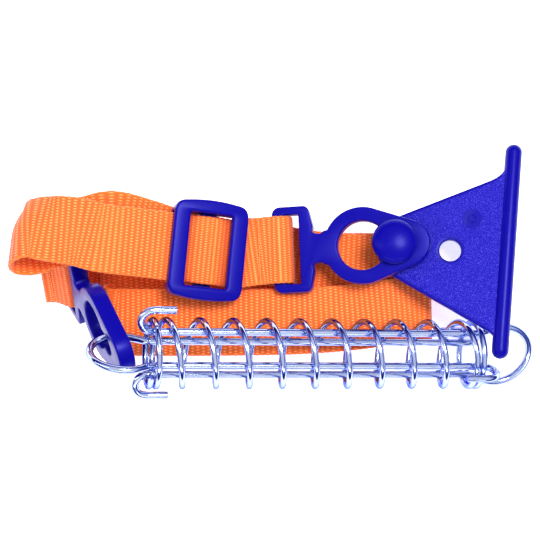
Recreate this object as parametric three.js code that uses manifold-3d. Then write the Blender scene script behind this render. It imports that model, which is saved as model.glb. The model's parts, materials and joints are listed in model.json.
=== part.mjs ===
// Awning tie-down kit, laid down as it is packed: an orange strap folded into a hank, a slider on it, a
// plastic connector at each end, a T-plate on the right connector and a drawbar spring on the left one.
// Millimetres, +Z up, the kit lies on z = 0. +X runs along the folded strap, +Y across it.
import * as THREE from 'three';
import { mergeVertices } from 'three/addons/utils/BufferGeometryUtils.js';
import Module from 'manifold-3d';

const wasm = await Module();
wasm.setup();

// ---- driving dimensions -------------------------------------------------------------------------
const GAP = 0.3; // air left between pieces that touch

const STRAP = { width: 25, thick: 1.4 };
const SEWN = 3.6; // length of the lap that the end loops are sewn along

const CONNECTOR = {
  thick: 6,
  ringHole: 9.15, // radius that the stud's head passes
  ringOuter: 14.25,
  keyEnd: 11.7, // centre of the keyhole's narrow end, from the ring's centre
  keyHalf: 4.3,
  tipRadius: 8.5,
  tipCentre: 16.5,
  neckAt: -16.5,
  neckHalf: 5.35,
  slotLeft: -28.3,
  slotRight: -23.2,
  slotHalf: 12.9,
  bodyLeft: -33.1,
  bodyRight: -19.2,
  bodyHalf: 16,
  barAt: -30.7,
  barHalfThick: 2.2, // the strap's bar is slimmer than the body
};

const SLIDER = {
  width: 28,
  length: 34,
  bow: 1.4, // how far each end bows out
  corner: 5,
  windowWide: 16,
  windowLong: 27,
  top: 4.2,
  bottom: -3.9,
  clear: 1.0, // height of a bar's face from the strap's middle
  centreHalf: 3,
};

const PLATE = {
  thick: 3,
  rodAt: 41.4, // rod's axis from the stud's axis
  rodRadius: 3.1,
  rodLow: -38.6,
  rodHigh: 42,
  apexAt: -24.3, // where the two tapered edges would meet
  edgeSlope: 0.4745,
  noseAt: 6.2,
  noseRadius: 12.7,
  filletFrom: 31,
  filletTop: 35.5,
  holeAt: 20.6,
  holeRadius: 4,
};

const STUD = {
  headRadius: 8.25,
  headDome: 4.2,
  neckRadius: 3.5,
  neckLength: 8.2,
  shankRadius: 2.6,
  footRadius: 4.6,
};

const BAR = { wire: 1.4, leg: 8.8, arm: 17.5, ring: 11.85, hookAt: 61, ringAt: 70.7, armLength: 8 };
const COIL = { wire: 1.15, radius: 11.85, halfLength: 61.8, turns: 12.3, closedTurns: 1.4, phase: 105 };

// Places on the ground plan, and the height of each.
const SLIDER_AT = new THREE.Vector3(-23.6, 7, 27.2);
const RING_AT = new THREE.Vector3(34, 8.9, 23.4);
const LEFT_RING_AT = new THREE.Vector3(-61, -18.9, 35.2);
const SPRING_AT = new THREE.Vector3(16.5, -30.5, 30.9);

const deg = THREE.MathUtils.degToRad;

// ---- materials ----------------------------------------------------------------------------------
const plastic = () => new THREE.MeshStandardMaterial({ color: 0x241bb0, roughness: 0.38, metalness: 0 });
const webbing = () => new THREE.MeshStandardMaterial({ color: 0xff7a1f, roughness: 0.85, metalness: 0 });
const thread = () => new THREE.MeshStandardMaterial({ color: 0xf06a18, roughness: 0.8, metalness: 0 });
const zinc = () => new THREE.MeshStandardMaterial({ color: 0xc4cad6, roughness: 0.22, metalness: 1 });

// ---- helpers ------------------------------------------------------------------------------------
function toSolid(geometry) {
  const bare = geometry.clone();
  bare.deleteAttribute('normal');
  bare.deleteAttribute('uv');
  const merged = mergeVertices(bare, 1e-4);
  return new wasm.Manifold(
    new wasm.Mesh({
      numProp: 3,
      vertProperties: new Float32Array(merged.attributes.position.array),
      triVerts: new Uint32Array(merged.index.array),
    }),
  );
}

function toGeometry(solid) {
  const mesh = solid.getMesh();
  const geometry = new THREE.BufferGeometry();
  geometry.setAttribute('position', new THREE.BufferAttribute(new Float32Array(mesh.vertProperties), 3));
  geometry.setIndex(new THREE.BufferAttribute(new Uint32Array(mesh.triVerts), 1));
  geometry.computeVertexNormals();
  return geometry;
}

// A flat shape made `low` to `high` thick along z.
function slab(shape, low, high, curveSegments = 10) {
  const geometry = new THREE.ExtrudeGeometry(shape, { depth: high - low, bevelEnabled: false, curveSegments });
  return geometry.translate(0, 0, low);
}

function block(x0, x1, y0, y1, z0, z1) {
  const box = new THREE.BoxGeometry(x1 - x0, y1 - y0, z1 - z0);
  return box.translate((x0 + x1) / 2, (y0 + y1) / 2, (z0 + z1) / 2);
}

// A side outline drawn in x and z, made `width` wide across y.
function across(shape, width) {
  const geometry = new THREE.ExtrudeGeometry(shape, { depth: width, bevelEnabled: false, curveSegments: 8 });
  return geometry.translate(0, 0, -width / 2).rotateX(Math.PI / 2);
}

// The outline of a band of the strap's thickness that follows a line of points.
function bandOutline(points, thick = STRAP.thick) {
  const sides = [[], []];
  points.forEach((point, i) => {
    const before = points[Math.max(i - 1, 0)];
    const after = points[Math.min(i + 1, points.length - 1)];
    const along = after.clone().sub(before).normalize();
    const normal = new THREE.Vector2(-along.y, along.x).multiplyScalar(thick / 2);
    sides[0].push(point.clone().add(normal));
    sides[1].push(point.clone().sub(normal));
  });
  return new THREE.Shape([...sides[0], ...sides[1].reverse()]);
}

// Points of an arc in degrees, ends included.
function arc(cx, cy, radius, from, to, steps) {
  return Array.from({ length: steps + 1 }, (_, i) => {
    const angle = deg(from + ((to - from) * i) / steps);
    return new THREE.Vector2(cx + radius * Math.cos(angle), cy + radius * Math.sin(angle));
  });
}

function roundWire(curve, radius, sides, steps) {
  const section = new THREE.Shape(arc(0, 0, radius, 0, 360 - 360 / sides, sides - 1));
  return new THREE.ExtrudeGeometry(section, { steps, extrudePath: curve, bevelEnabled: false });
}

// A group turned by yaw about z, then roll about x, then pitch about y, so that its y axis keeps level
// with the bar or the strap's width whatever the pitch.
function turned(at, yaw, roll, pitch) {
  const group = new THREE.Group();
  group.position.copy(at);
  group.rotation.set(deg(roll), deg(pitch), deg(yaw), 'ZXY');
  return group;
}

function named(name, geometry, material) {
  const mesh = new THREE.Mesh(geometry, material);
  mesh.name = name;
  return mesh;
}

// ---- connector: a slot body for the strap, a neck, and a ring with a keyhole --------------------
function connectorOutline() {
  const c = CONNECTOR;
  const upper = [
    ...arc(c.bodyLeft + 2.5, c.bodyHalf - 2.5, 2.5, 180, 90, 3),
    ...arc(c.bodyRight - 1.5, c.bodyHalf - 1.5, 1.5, 90, 15, 3),
    new THREE.Vector2(-17.4, 7.0),
    new THREE.Vector2(c.neckAt, c.neckHalf),
    new THREE.Vector2(-14.6, 5.6),
    ...arc(0, 0, c.ringOuter, 152, 74, 9),
    ...arc(c.tipCentre, 0, c.tipRadius, 70, 0, 7),
  ];
  const lower = upper.slice(0, -1).map((p) => new THREE.Vector2(p.x, -p.y)).reverse();
  return new THREE.Shape([...upper, ...lower]);
}

function connectorGeometry() {
  const c = CONNECTOR;
  const shape = connectorOutline();
  const step = THREE.MathUtils.radToDeg(Math.asin(c.keyHalf / c.ringHole));
  shape.holes.push(new THREE.Path([
    ...arc(0, 0, c.ringHole, step, 360 - step, 22),
    ...arc(c.keyEnd, 0, c.keyHalf, -90, 90, 8),
  ]));
  shape.holes.push(new THREE.Path([
    new THREE.Vector2(c.slotLeft, -c.slotHalf),
    new THREE.Vector2(c.slotRight, -c.slotHalf),
    new THREE.Vector2(c.slotRight, c.slotHalf),
    new THREE.Vector2(c.slotLeft, c.slotHalf),
  ]));
  const half = c.thick / 2;
  let solid = toSolid(slab(shape, -half, half));
  for (const side of [-1, 1]) {
    const cut = block(c.bodyLeft - 1, c.slotLeft + 0.5, -c.slotHalf, c.slotHalf, 0, half + 1);
    cut.translate(0, 0, side > 0 ? c.barHalfThick : -c.barHalfThick - half - 1);
    solid = solid.subtract(toSolid(cut));
  }
  return toGeometry(solid);
}

// ---- slider: two outer bars over the strap, a centre bar under it -------------------------------
function sliderGeometry() {
  const s = SLIDER;
  const w = s.width / 2;
  const h = s.length / 2;
  const outline = new THREE.Shape();
  outline.moveTo(-w, -h + s.corner);
  outline.lineTo(-w, h - s.corner);
  outline.quadraticCurveTo(-w, h, -w + s.corner, h);
  outline.quadraticCurveTo(0, h + 2 * s.bow, w - s.corner, h);
  outline.quadraticCurveTo(w, h, w, h - s.corner);
  outline.lineTo(w, -h + s.corner);
  outline.quadraticCurveTo(w, -h, w - s.corner, -h);
  outline.quadraticCurveTo(0, -h - 2 * s.bow, -w + s.corner, -h);
  outline.quadraticCurveTo(-w, -h, -w, -h + s.corner);
  let solid = toSolid(slab(outline, s.bottom, s.top, 6));
  const wide = s.windowWide / 2;
  const long = s.windowLong / 2;
  solid = solid.subtract(toSolid(block(-wide, wide, -long, long, 0, s.top + 1)));
  solid = solid.subtract(toSolid(block(-w - 1, w + 1, -long, long, -s.clear, s.clear)));
  for (const side of [-1, 1]) {
    const from = side * s.centreHalf;
    const to = side * (w + 1);
    const cut = block(Math.min(from, to), Math.max(from, to), -long, long, s.bottom - 1, 0);
    solid = solid.subtract(toSolid(cut));
  }
  return toGeometry(solid);
}

// ---- T-plate: a triangular plate with a keder rod along its wide edge ---------------------------
function plateGeometry() {
  const p = PLATE;
  const edge = (x) => p.edgeSlope * (x - p.apexAt);
  const rodFace = p.rodAt - 1;
  const shape = new THREE.Shape([
    ...arc(p.noseAt, 0, p.noseRadius, 244, 116, 14),
    new THREE.Vector2(p.filletFrom, edge(p.filletFrom)),
    new THREE.Vector2(p.filletFrom + 3.2, edge(p.filletFrom) + 2.0),
    new THREE.Vector2(p.filletFrom + 5.6, edge(p.filletFrom) + 4.8),
    new THREE.Vector2(p.filletFrom + 7.2, p.filletTop),
    new THREE.Vector2(rodFace, p.filletTop + 1),
    new THREE.Vector2(rodFace, -edge(p.rodAt) - 1.2),
    new THREE.Vector2(p.rodAt - 4.5, -edge(p.rodAt - 4.5)),
  ]);
  shape.holes.push(new THREE.Path(arc(p.holeAt, 0, p.holeRadius, 0, 342, 19)));
  shape.holes.push(new THREE.Path(arc(0, 0, STUD.shankRadius + 0.2, 0, 337.5, 15)));
  const half = p.thick / 2;
  const r = p.rodRadius;
  const profile = [
    ...arc(0, p.rodLow + r, r, -90, 0, 4),
    ...arc(0, p.rodHigh - r, r, 0, 90, 4),
  ];
  profile[0].x = 0;
  profile[profile.length - 1].x = 0;
  const rod = new THREE.LatheGeometry(profile, 16).translate(p.rodAt, 0, 0);
  return toGeometry(toSolid(slab(shape, -half, half)).add(toSolid(rod)));
}

// ---- mushroom stud: its foot under the plate, its neck in the keyhole, its head on the connector
function studGeometry() {
  const s = STUD;
  const plateHalf = PLATE.thick / 2;
  const shoulder = plateHalf + GAP;
  const underHead = shoulder + s.neckLength;
  const foot = -plateHalf - GAP;
  const profile = [
    new THREE.Vector2(0, foot - 1.2),
    new THREE.Vector2(s.footRadius, foot - 1.2),
    new THREE.Vector2(s.footRadius, foot),
    new THREE.Vector2(s.shankRadius, foot),
    new THREE.Vector2(s.shankRadius, shoulder),
    new THREE.Vector2(s.neckRadius, shoulder),
    new THREE.Vector2(s.neckRadius, underHead),
    new THREE.Vector2(s.headRadius - 0.4, underHead),
    new THREE.Vector2(s.headRadius, underHead + 0.8),
    new THREE.Vector2(s.headRadius * 0.86, underHead + 0.55 * s.headDome),
    new THREE.Vector2(s.headRadius * 0.55, underHead + 0.86 * s.headDome),
    new THREE.Vector2(0, underHead + s.headDome),
  ];
  return new THREE.LatheGeometry(profile, 24).rotateX(Math.PI / 2);
}

// ---- spring -------------------------------------------------------------------------------------
// A drawbar is one wire: hook, leg, ring, leg, hook. Its ring points along +x and it lies in the x-y plane.
function drawbarCurve() {
  const b = BAR;
  const mid = (b.leg + b.arm) / 2;
  const bend = (b.arm - b.leg) / 2;
  const reach = Math.sqrt(b.ring ** 2 - b.leg ** 2);
  const open = THREE.MathUtils.radToDeg(Math.atan2(b.leg, -reach));
  const half = [
    new THREE.Vector2(-b.hookAt + b.armLength, b.arm),
    new THREE.Vector2(-b.hookAt + b.armLength / 2, b.arm),
    ...arc(-b.hookAt, mid, bend, 90, 270, 6),
    new THREE.Vector2(-b.hookAt + 6, b.leg),
    new THREE.Vector2(-20, b.leg),
    new THREE.Vector2(20, b.leg),
    new THREE.Vector2(b.ringAt - reach - 6, b.leg),
    new THREE.Vector2(b.ringAt - reach - 1.5, b.leg + 0.05),
    ...arc(b.ringAt, 0, b.ring, open - 12, 0, 7),
  ];
  const other = half.slice(0, -1).map((p) => new THREE.Vector2(p.x, -p.y)).reverse();
  const points = [...half, ...other].map((p) => new THREE.Vector3(p.x, p.y, 0));
  return new THREE.CatmullRomCurve3(points, false, 'centripetal');
}

const drawbarGeometry = () => roundWire(drawbarCurve(), BAR.wire, 8, 110);

// A right-handed compression spring along x, its end turns closed.
class CoilCurve extends THREE.Curve {
  getPoint(t, target = new THREE.Vector3()) {
    const c = COIL;
    const turn = t * c.turns;
    const closedPitch = 2 * c.wire + 0.25;
    const openTurns = c.turns - 2 * c.closedTurns;
    const openPitch = (2 * c.halfLength - 2 * c.closedTurns * closedPitch) / openTurns;
    let x = turn * closedPitch;
    if (turn > c.closedTurns) x = c.closedTurns * closedPitch + (turn - c.closedTurns) * openPitch;
    const last = turn - (c.turns - c.closedTurns);
    if (last > 0) x = 2 * c.halfLength - (c.closedTurns - last) * closedPitch;
    const angle = turn * 2 * Math.PI + deg(c.phase);
    return target.set(x - c.halfLength, c.radius * Math.cos(angle), c.radius * Math.sin(angle));
  }
}

const coilGeometry = () => roundWire(new CoilCurve(), COIL.wire, 6, Math.round(COIL.turns * 20));

// ---- webbing ------------------------------------------------------------------------------------
// The top run passes through the slider, folds at the left and comes back under itself.
function topRunGeometry() {
  const fold = { x: -68, r: 4.6 };
  const points = [
    new THREE.Vector2(13.5, 0),
    new THREE.Vector2(-40, 0),
    new THREE.Vector2(-56, -0.2),
    ...arc(fold.x, -fold.r - 0.4, fold.r, 90, 270, 8),
    new THREE.Vector2(-58, -2 * fold.r + 1.6),
    new THREE.Vector2(-47, -5.6),
    new THREE.Vector2(-34, -6.2),
  ];
  return across(bandOutline(points), STRAP.width);
}

// An end loop hugs the connector's bar and closes on itself towards -x, where it is sewn.
function endLoopGeometry(tail) {
  const inner = 3.6;
  const outer = inner + STRAP.thick;
  const lap = STRAP.thick;
  const sewn = -tail + SEWN;
  const shape = new THREE.Shape([
    new THREE.Vector2(-tail, -lap),
    new THREE.Vector2(sewn, -lap),
    ...arc(0, 0, outer, -108, 108, 12),
    new THREE.Vector2(sewn, lap),
    new THREE.Vector2(-tail, lap),
  ]);
  shape.holes.push(new THREE.Path([
    ...arc(0, 0, inner, -112, 112, 12),
    new THREE.Vector2(sewn + 0.8, 0),
  ]));
  return across(shape, STRAP.width);
}

// A group of folded runs, tight at its right fold and open at its left one.
function hankSolid({ left, right, leftHigh, rightHigh, width }) {
  const tight = rightHigh / 2;
  const loose = leftHigh / 3;
  const shape = new THREE.Shape([
    ...arc(right - tight, tight, tight, -90, 80, 6),
    ...arc(left + loose, leftHigh - loose, loose, 95, 180, 4),
    ...arc(left + loose, loose, loose, 180, 270, 4),
  ]);
  return across(shape, width);
}

// A row of lock stitches: a low ridge of thread across the strap.
function stitchGeometry(tail) {
  const half = STRAP.width / 2 - 1.5;
  const at = SEWN / 2 - tail;
  const low = STRAP.thick + GAP;
  return block(at - 0.6, at + 0.6, -half, half, low, low + 0.5);
}

// ---- assembly -----------------------------------------------------------------------------------
const kit = new THREE.Group();

// Top run and slider share one frame: it slopes up to the left.
const topLayer = turned(SLIDER_AT, -5.5, -5, 17.5);
topLayer.add(named('webbing_top_run', topRunGeometry(), webbing()));
topLayer.add(named('slider', sliderGeometry(), plastic()));
kit.add(topLayer);

// Right connector: its bar is the hinge that the strap's sewn loop turns on.
const rightConnector = turned(RING_AT, 2.5, -6, -8.5);
rightConnector.add(named('connector_right', connectorGeometry(), plastic()));
kit.add(rightConnector);
rightConnector.updateMatrixWorld(true);
const barPoint = rightConnector.localToWorld(new THREE.Vector3(CONNECTOR.barAt, 0, 0));
const rightLoop = turned(barPoint, 2.5, -6, 17.5);
rightLoop.add(named('webbing_right_loop', endLoopGeometry(10.5), webbing()));
rightLoop.add(named('stitching_right', stitchGeometry(10.5), thread()));
kit.add(rightLoop);

// Stud and T-plate share the stud's axis, square to the plate.
const studPoint = rightConnector.localToWorld(new THREE.Vector3(CONNECTOR.keyEnd, 0, 0));
const plateFrame = turned(studPoint, -5.2, -9, -5);
plateFrame.updateMatrixWorld(true);
const plateDrop = PLATE.thick / 2 + GAP + STUD.neckLength / 2;
plateFrame.position.copy(plateFrame.localToWorld(new THREE.Vector3(0, 0, -plateDrop)));
plateFrame.add(named('t_plate', plateGeometry(), plastic()));
plateFrame.add(named('stud', studGeometry(), plastic()));
kit.add(plateFrame);

// Left connector stands on the corner of its slot body and leans on the hank.
const uAxis = new THREE.Vector3(0.44, -0.56, 0.702).normalize();
const vAxis = new THREE.Vector3(-0.05, 0.76, 0.64);
vAxis.addScaledVector(uAxis, -vAxis.dot(uAxis)).normalize();
const wAxis = new THREE.Vector3().crossVectors(uAxis, vAxis);
const leftConnector = new THREE.Group();
leftConnector.position.copy(LEFT_RING_AT);
leftConnector.quaternion.setFromRotationMatrix(new THREE.Matrix4().makeBasis(uAxis, vAxis, wAxis));
leftConnector.add(named('connector_left', connectorGeometry(), plastic()));
kit.add(leftConnector);
leftConnector.updateMatrixWorld(true);
const leftLoop = new THREE.Group();
leftLoop.position.copy(leftConnector.localToWorld(new THREE.Vector3(CONNECTOR.barAt, 0, 0)));
const tailAway = new THREE.Vector3(1, 0, 0).addScaledVector(vAxis, -vAxis.x).normalize();
leftLoop.quaternion.setFromRotationMatrix(
  new THREE.Matrix4().makeBasis(tailAway, vAxis, new THREE.Vector3().crossVectors(tailAway, vAxis)),
);
leftLoop.add(named('webbing_left_loop', endLoopGeometry(9.6), webbing()));
leftLoop.add(named('stitching_left', stitchGeometry(9.6), thread()));
kit.add(leftLoop);

// The folded runs: the lower group lies towards -y, the upper group under the top run.
const lowerHank = turned(new THREE.Vector3(0, -16.4, 0), 3.2, 0, 0);
lowerHank.updateMatrixWorld(true);
const lower = hankSolid({ left: -53, right: 58.5, leftHigh: 21, rightHigh: 6.5, width: STRAP.width });
lowerHank.add(named('webbing_hank_lower', lower, webbing()));
kit.add(lowerHank);
const upper = hankSolid({ left: -65, right: 52, leftHigh: 19, rightHigh: 6.5, width: STRAP.width });
upper.translate(0, 1.5, 0);
const keepOut = block(-120, 120, -60, 12.5 + GAP, -5, 60).applyMatrix4(lowerHank.matrixWorld);
kit.add(named('webbing_hank_upper', toGeometry(toSolid(upper).subtract(toSolid(keepOut))), webbing()));

// Spring: axis sloping down to the right, both drawbars rolled about it, square to each other.
const springAxis = new THREE.Vector3(122, -1.9, -29.2).normalize();
const rollUp = new THREE.Vector3(0, Math.cos(deg(28)), Math.sin(deg(28)));
const aAxis = rollUp.addScaledVector(springAxis, -rollUp.dot(springAxis)).normalize();
const bAxis = new THREE.Vector3().crossVectors(springAxis, aAxis);
const spring = new THREE.Group();
spring.position.copy(SPRING_AT);
spring.quaternion.setFromRotationMatrix(new THREE.Matrix4().makeBasis(springAxis, aAxis, bAxis));
spring.add(named('drawbar_a', drawbarGeometry(), zinc()));
spring.add(named('drawbar_b', drawbarGeometry().rotateX(Math.PI / 2).rotateZ(Math.PI), zinc()));
spring.add(named('coil', coilGeometry(), zinc()));
kit.add(spring);

// The frame's origin is the middle of the kit's footprint, on the surface it lies on.
const extent = new THREE.Box3().setFromObject(kit, true);
const middle = extent.getCenter(new THREE.Vector3());
kit.position.set(-middle.x, -middle.y, -extent.min.z);

export default kit;
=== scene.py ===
# %% [markdown]
# # An awning tie-down kit, laid down as it is packed
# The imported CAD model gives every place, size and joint. This lesson makes the surfaces that the eye sees:
# woven webbing, moulded plastic, plated wire.

# %% Load the frame
import json
import math

import bmesh
import bpy
from mathutils import Euler, Matrix, Vector


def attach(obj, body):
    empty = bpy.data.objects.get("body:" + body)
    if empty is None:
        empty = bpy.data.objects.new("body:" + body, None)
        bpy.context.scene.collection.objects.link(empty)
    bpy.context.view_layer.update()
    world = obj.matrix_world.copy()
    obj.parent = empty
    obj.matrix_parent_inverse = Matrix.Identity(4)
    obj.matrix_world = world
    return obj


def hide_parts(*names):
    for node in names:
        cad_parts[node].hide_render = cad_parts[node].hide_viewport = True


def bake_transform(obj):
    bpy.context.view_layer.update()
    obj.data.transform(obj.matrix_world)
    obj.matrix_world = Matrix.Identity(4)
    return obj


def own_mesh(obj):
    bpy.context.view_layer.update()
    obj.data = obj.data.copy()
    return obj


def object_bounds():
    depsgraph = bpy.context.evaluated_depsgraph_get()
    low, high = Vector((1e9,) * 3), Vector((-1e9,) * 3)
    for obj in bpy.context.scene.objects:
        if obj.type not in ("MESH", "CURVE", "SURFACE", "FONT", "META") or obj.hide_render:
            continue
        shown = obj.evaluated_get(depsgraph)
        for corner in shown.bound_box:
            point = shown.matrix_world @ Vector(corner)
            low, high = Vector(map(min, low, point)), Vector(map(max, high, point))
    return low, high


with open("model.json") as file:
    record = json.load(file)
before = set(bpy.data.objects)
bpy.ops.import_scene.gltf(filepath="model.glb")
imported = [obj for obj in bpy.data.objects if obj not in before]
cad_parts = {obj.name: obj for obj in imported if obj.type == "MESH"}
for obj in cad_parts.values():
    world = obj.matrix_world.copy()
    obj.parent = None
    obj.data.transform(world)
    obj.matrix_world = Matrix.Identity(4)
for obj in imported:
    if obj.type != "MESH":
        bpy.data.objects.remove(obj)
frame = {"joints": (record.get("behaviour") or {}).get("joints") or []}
cad_low, cad_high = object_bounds()
MM = 0.001
joints = {joint["name"]: joint for joint in frame["joints"]}
print("CAD box, mm:", [round(v / MM, 1) for v in (*cad_low, *cad_high)])

# %% [markdown]
# ## Places
# Each piece is drawn in a frame of its own and then turned into place. A turned frame is a yaw about z, then
# a roll about x, then a pitch about y, so that its y axis keeps level with the strap's width. The joints of
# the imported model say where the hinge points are, and one of them gives the step between the drawing's
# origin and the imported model's.

# %% Frames of the pieces, in millimetres
def turned(at, yaw, roll, pitch):
    turn = Euler((math.radians(roll), 0, 0)).to_matrix() @ Euler((0, math.radians(pitch), 0)).to_matrix()
    turn = Euler((0, 0, math.radians(yaw))).to_matrix() @ turn
    return Matrix.Translation(at) @ turn.to_4x4()


def from_axes(at, x, y):
    z = x.cross(y)
    return Matrix.Translation(at) @ Matrix((x, y, z)).transposed().to_4x4()


BAR_AT = -30.7  # the connector's strap bar, from its ring's centre
RING_RIGHT = turned((34, 8.9, 23.4), 2.5, -6, -8.5)
bar_right = RING_RIGHT @ Vector((BAR_AT, 0, 0))
SHIFT = Vector(joints["right_connector_swing"]["pos_m"]) / MM - bar_right
TOP_RUN = turned((-23.6, 7, 27.2), -5.5, -5, 17.5)
LOOP_RIGHT = turned(bar_right, 2.5, -6, 17.5)
pin = RING_RIGHT @ Vector((11.7, 0, 0))
PLATE = turned(pin, -5.2, -9, -5)
PLATE = PLATE @ Matrix.Translation((0, 0, -5.9))

u_axis = Vector((0.44, -0.56, 0.702)).normalized()
v_axis = Vector((-0.05, 0.76, 0.64))
v_axis = (v_axis - v_axis.dot(u_axis) * u_axis).normalized()
RING_LEFT = from_axes(Vector((-61, -18.9, 35.2)), u_axis, v_axis)
away = Vector((1, 0, 0))
away = (away - away.dot(v_axis) * v_axis).normalized()
LOOP_LEFT = from_axes(RING_LEFT @ Vector((BAR_AT, 0, 0)), away, v_axis)

spring_x = Vector((122, -1.9, -29.2)).normalized()
spring_a = Vector((0, math.cos(math.radians(28)), math.sin(math.radians(28))))
spring_a = (spring_a - spring_a.dot(spring_x) * spring_x).normalized()
SPRING = from_axes(Vector((16.5, -30.5, 30.9)), spring_x, spring_a)
print("step from the drawing's origin to the packed one, mm:", [round(v, 3) for v in SHIFT])


def place(point):
    """A point of the drawing, in millimetres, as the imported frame's metres."""
    return (Vector(point) + SHIFT) * MM


# %% [markdown]
# ## Camera
# The camera comes first, so that every later cell can be judged through it.

# %% Camera
EYE_HEIGHT = 0.64
KIT_LEVEL = 0.025  # the height above the ground that the view is sized for
VIEW_WIDTH = 0.1985  # what the picture's width takes in at that height
camera_data = bpy.data.cameras.new("camera")
camera_data.sensor_width = 36
camera_data.lens = camera_data.sensor_width * (EYE_HEIGHT - KIT_LEVEL) / VIEW_WIDTH
camera = bpy.data.objects.new("camera", camera_data)
camera.location = (SHIFT.x * MM - 0.0002, SHIFT.y * MM, EYE_HEIGHT)
bpy.context.scene.collection.objects.link(camera)
bpy.context.scene.camera = camera
print("lens, mm:", round(camera_data.lens, 1))

# %% [markdown]
# ## Ground and light
# A white sweep under soft boxes is how small hardware is shot. The ground is plain and matt, and glows a
# little, as a backlit sweep does. The sky is white overhead and dark blue at the horizon, for the wire to
# mirror.

# %% Ground, lights and sky
def linear(colour):
    """An sRGB hex colour as linear red, green, blue and alpha."""
    parts = [int(colour[i : i + 2], 16) / 255 for i in (1, 3, 5)]
    return (*[p / 12.92 if p <= 0.04045 else ((p + 0.055) / 1.055) ** 2.4 for p in parts], 1.0)


def add(tree, kind, inputs=None, **settings):
    """Adds a shader node, with its settings, and its inputs as values or as links."""
    node = tree.nodes.new(kind)
    for name, value in settings.items():
        setattr(node, name, value)
    for name, value in (inputs or {}).items():
        if isinstance(value, bpy.types.NodeSocket):
            tree.links.new(value, node.inputs[name])
        else:
            node.inputs[name].default_value = value
    return node


def new_material(name):
    material = bpy.data.materials.new(name)
    material.use_nodes = True
    tree = material.node_tree
    return material, tree, tree.nodes["Principled BSDF"]


ground_paint, tree, shader = new_material("white_ground")
shader.inputs["Base Color"].default_value = linear("#FBFBFF")
shader.inputs["Roughness"].default_value = 0.9
shader.inputs["Specular IOR Level"].default_value = 0.1
shader.inputs["Emission Color"].default_value = linear("#F4F2FF")
shader.inputs["Emission Strength"].default_value = 0.7
ground_mesh = bpy.data.meshes.new("ground")
EDGE = 3.0
corners = [(-EDGE, -EDGE, 0), (EDGE, -EDGE, 0), (EDGE, EDGE, 0), (-EDGE, EDGE, 0)]
ground_mesh.from_pydata(corners, [], [(0, 1, 2, 3)])
ground = bpy.data.objects.new("ground", ground_mesh)
ground.location.z = cad_low.z - 0.0002
ground_mesh.materials.append(ground_paint)
bpy.context.scene.collection.objects.link(ground)


def soft_box(name, at, size, power, colour="#FFFFFF"):
    light = bpy.data.lights.new(name, "AREA")
    light.shape = "RECTANGLE"
    light.size, light.size_y = size
    light.energy = power
    light.color = linear(colour)[:3]
    lamp = bpy.data.objects.new(name, light)
    lamp.location = at
    lamp.rotation_euler = (-Vector(at)).to_track_quat("-Z", "Y").to_euler()
    bpy.context.scene.collection.objects.link(lamp)


soft_box("key_box", (0.2, 0.22, 0.85), (0.26, 0.26), 8.5)
soft_box("strip_front", (-0.05, -0.75, 0.55), (1.2, 0.14), 2.6)
soft_box("strip_left", (-0.8, 0.1, 0.6), (0.16, 0.9), 1.8)

# The picture is shown without a film curve, so that dyed cloth and plastic keep their full colour.
bpy.context.scene.view_settings.view_transform = "Standard"

sky = bpy.data.worlds.new("studio")
bpy.context.scene.world = sky
sky.use_nodes = True
glow = sky.node_tree.nodes["Background"]
way = add(sky.node_tree, "ShaderNodeTexCoord").outputs["Generated"]
up = add(sky.node_tree, "ShaderNodeSeparateXYZ", {0: way}).outputs["Z"]
dome = add(sky.node_tree, "ShaderNodeValToRGB", {"Fac": up})
dome.color_ramp.elements[0].color = linear("#080E38")
dome.color_ramp.elements[1].color = linear("#FFFFFF")
for where, colour in ((0.3, "#1C2C90"), (0.5, "#7C8CE0"), (0.66, "#F4F4FF")):
    dome.color_ramp.elements.new(where).color = linear(colour)
sky.node_tree.links.new(dome.outputs[0], glow.inputs["Color"])
glow.inputs["Strength"].default_value = 1.0

# %% [markdown]
# ## Blue plastic
# The hardware is polypropylene, moulded in polished tools, with one spark-eroded face on the T-plate. The
# polished skin is satin and slightly uneven, as sink marks and flow leave it, and it pales where it rubs.
# The eroded face is a field of fine pits, about a third of a millimetre apart, that scatter the light.

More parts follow.
